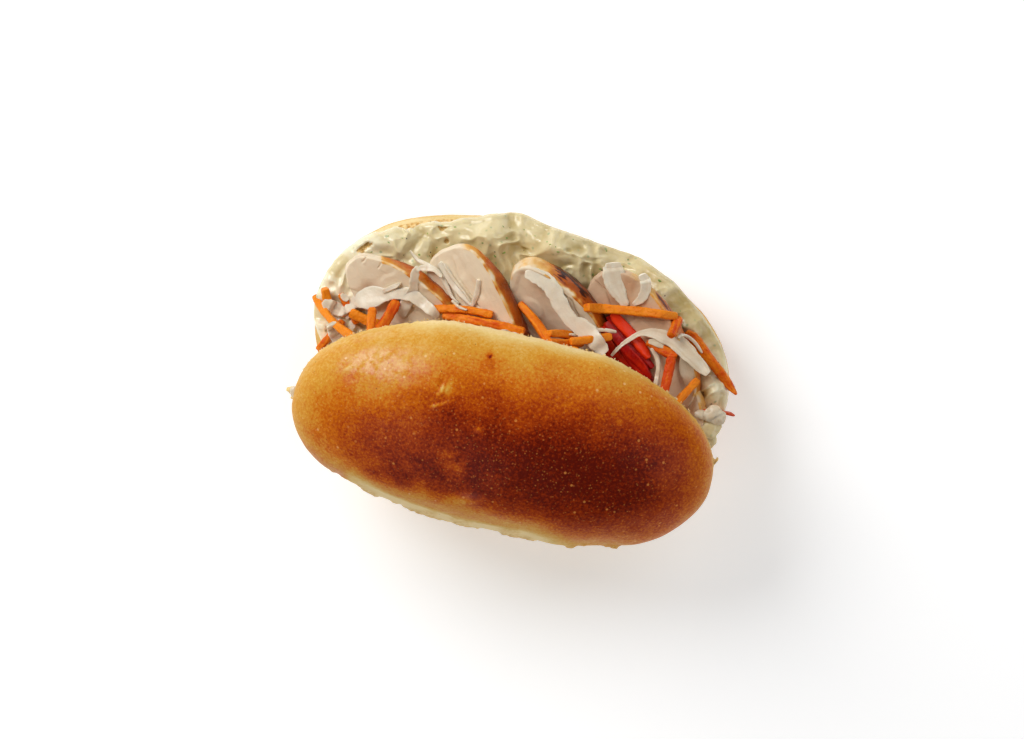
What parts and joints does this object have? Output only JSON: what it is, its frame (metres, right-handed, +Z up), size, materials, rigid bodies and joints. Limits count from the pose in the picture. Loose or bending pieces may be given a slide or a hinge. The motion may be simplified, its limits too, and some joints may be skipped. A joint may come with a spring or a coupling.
{
  "type": "chicken sandwich",
  "caption": "Long soft milk roll cut open at one side, propped open over herb cream, sliced grilled chicken, red pepper strips and a slaw of carrot and white cabbage.",
  "frame": {"origin": "centre of the roll's flat underside, on the surface that the sandwich rests on", "axes": "+X along the roll, +Y out of its open side, +Z up"},
  "size_m": [0.152, 0.1103, 0.0737],
  "materials": {
    "crust": "baked golden to dark brown crust with a soft egg-wash sheen, pale crumb at the cut",
    "cream": "thick moist off-white cream with green herb flecks",
    "chicken": "moist pinkish-white cut breast meat with a browned and charred rim",
    "pepper": "wet deep red",
    "slaw": "moist orange carrot strips and translucent white cabbage shreds"
  },
  "bodies": {
    "root": {"roll": "crust", "herb_cream": "cream", "chicken_slice_1": "chicken", "chicken_slice_2": "chicken", "chicken_slice_3": "chicken", "chicken_slice_4": "chicken", "chicken_slice_5": "chicken", "red_pepper_strips": "pepper", "carrot_cabbage_slaw": "slaw"}
  },
  "joints": []
}
